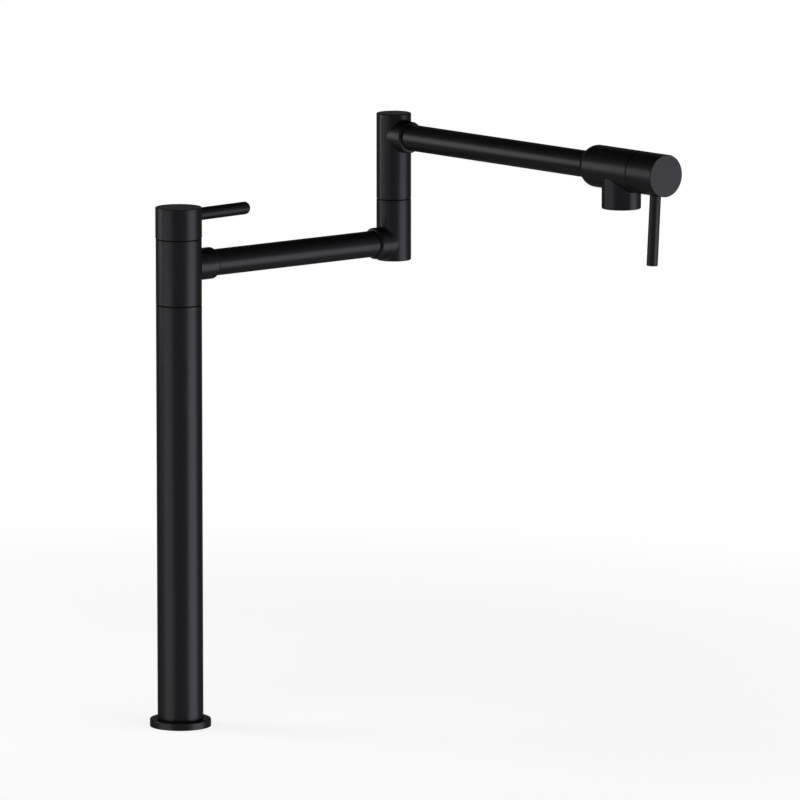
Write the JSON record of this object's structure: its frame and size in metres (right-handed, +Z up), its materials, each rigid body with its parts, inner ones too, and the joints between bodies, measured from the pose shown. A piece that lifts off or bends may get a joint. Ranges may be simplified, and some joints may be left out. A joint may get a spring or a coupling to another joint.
{
  "type": "pot filler",
  "caption": "Deck-mounted pot filler: tall round column, jointed swing arms, a lever valve on the column and a spout head with its own lever valve, in matte black.",
  "frame": {"origin": "centre of the shank socket, on the column's axis in the plane of the deck", "axes": "+Z up along the column; +X along the lower arm; the upper arm points along -Y at rest"},
  "size_m": [0.2742, 0.3673, 0.4931],
  "materials": {
    "black_coat": "matte black powder coat",
    "turned_brass": "turned",
    "black_rubber": "matte",
    "glide_plastic": "black acetal",
    "aerator_plastic": "moulded grey",
    "disc_ceramic": "lapped",
    "screw_steel": "plain stainless"
  },
  "bodies": {
    "column": {"base_flange": "black_coat", "base_gasket": "black_rubber", "base_adapter": "turned_brass", "riser_tube": "black_coat", "supply_pipe": "turned_brass", "swivel_spigot": "turned_brass", "spigot_o_rings": "black_rubber", "swivel_glide_ring": "glide_plastic"},
    "lower_arm": {"swivel_body": "black_coat", "swivel_set_screw": "screw_steel", "lower_arm_tube": "black_coat", "lower_arm_tube_seals": "black_rubber", "elbow_lower_body": "black_coat", "elbow_plug": "black_coat", "elbow_plug_o_ring": "black_rubber", "elbow_glide_ring": "glide_plastic", "top_cartridge_body": "turned_brass", "top_cartridge_o_ring": "black_rubber", "top_seat_seal": "black_rubber", "top_fixed_disc": "disc_ceramic", "top_glide_ring": "glide_plastic"},
    "upper_arm": {"elbow_upper_body": "black_coat", "elbow_spigot": "turned_brass", "elbow_o_rings": "black_rubber", "elbow_thrust_washer": "glide_plastic", "elbow_circlip": "screw_steel", "upper_arm_tube": "black_coat", "upper_arm_tube_seals": "black_rubber", "spout_head": "black_coat", "aerator_housing": "black_coat", "aerator_insert": "aerator_plastic", "aerator_washer": "black_rubber", "spout_cartridge_body": "turned_brass", "spout_cartridge_o_ring": "black_rubber", "spout_seat_seal": "black_rubber", "spout_fixed_disc": "disc_ceramic", "spout_glide_ring": "glide_plastic"},
    "top_handle": {"top_handle_hub": "black_coat", "top_handle_lever": "black_coat", "top_handle_set_screw": "screw_steel", "top_spindle": "turned_brass", "top_spindle_o_ring": "black_rubber", "top_spindle_clip": "screw_steel", "top_moving_disc": "disc_ceramic"},
    "spout_handle": {"spout_handle_hub": "black_coat", "spout_handle_lever": "black_coat", "spout_handle_set_screw": "screw_steel", "spout_spindle": "turned_brass", "spout_spindle_o_ring": "black_rubber", "spout_spindle_clip": "screw_steel", "spout_moving_disc": "disc_ceramic"}
  },
  "joints": [
    {"name": "base_swivel", "type": "hinge", "parent": "column", "child": "lower_arm", "pos_m": [0, 0, 0.3529], "axis": [0, 0, 1], "continuous": true},
    {"name": "elbow_swivel", "type": "hinge", "parent": "lower_arm", "child": "upper_arm", "pos_m": [0.2314, 0, 0.4208], "axis": [0, 0, 1], "continuous": true},
    {"name": "top_valve", "type": "hinge", "parent": "lower_arm", "child": "top_handle", "pos_m": [0, 0, 0.4073], "axis": [0, 0, 1], "range_deg": [0, 90]},
    {"name": "spout_valve", "type": "hinge", "parent": "upper_arm", "child": "spout_handle", "pos_m": [0.2314, -0.3109, 0.4742], "axis": [0, 1, 0], "range_deg": [0, 90]}
  ]
}
